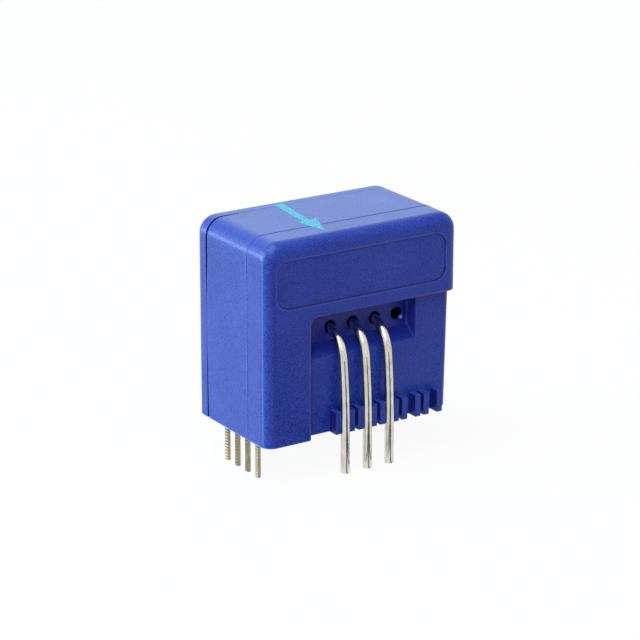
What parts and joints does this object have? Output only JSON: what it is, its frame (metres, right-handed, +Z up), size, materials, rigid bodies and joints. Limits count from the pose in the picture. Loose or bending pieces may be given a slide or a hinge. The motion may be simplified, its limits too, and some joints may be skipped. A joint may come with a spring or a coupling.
{
  "type": "hall effect current sensor",
  "caption": "Moulded current sensor for a circuit board: a rounded case with a hooded recess, bent round conductors through bores, a comb along the foot and flat secondary pins.",
  "frame": {"origin": "middle of the seating plane, the flat underside of the case", "axes": "+Z up from the host circuit board, -Y towards the marked front face with its hood, +X to the right as the front is seen. The flat pins are at -X."},
  "size_m": [0.0218, 0.0136, 0.0241],
  "materials": {
    "case_plastic": "fine moulded grain",
    "conductor_metal": "tinned copper, satin",
    "pin_metal": "tinned on the sides, serrated",
    "board_laminate": "green solder mask",
    "core_alloy": "annealed nickel iron",
    "bobbin_plastic": "natural moulded",
    "winding_copper": "enamelled",
    "terminal_metal": "tinned",
    "package_plastic": "moulded",
    "capacitor_ceramic": "fired",
    "resistor_ceramic": "glazed"
  },
  "bodies": {
    "root": {"main_case": "case_plastic", "rear_cover": "case_plastic", "primary_conductor_1": "conductor_metal", "primary_conductor_2": "conductor_metal", "primary_conductor_3": "conductor_metal", "secondary_pin_1": "pin_metal", "secondary_pin_2": "pin_metal", "secondary_pin_3": "pin_metal", "secondary_pin_4": "pin_metal", "circuit_board": "board_laminate", "core_half_upper": "core_alloy", "core_half_lower": "core_alloy", "hall_element": "package_plastic", "signal_chip": "package_plastic", "coil_bobbin_upper": "bobbin_plastic", "coil_bobbin_lower": "bobbin_plastic", "compensation_winding_upper": "winding_copper", "compensation_winding_lower": "winding_copper", "coil_terminal_upper_front": "terminal_metal", "coil_terminal_upper_back": "terminal_metal", "coil_terminal_lower_front": "terminal_metal", "coil_terminal_lower_back": "terminal_metal", "filter_capacitor_1": "capacitor_ceramic", "filter_capacitor_2": "capacitor_ceramic", "filter_capacitor_3": "capacitor_ceramic", "gain_resistor_1": "resistor_ceramic", "gain_resistor_2": "resistor_ceramic", "measuring_resistor": "resistor_ceramic"}
  },
  "joints": []
}
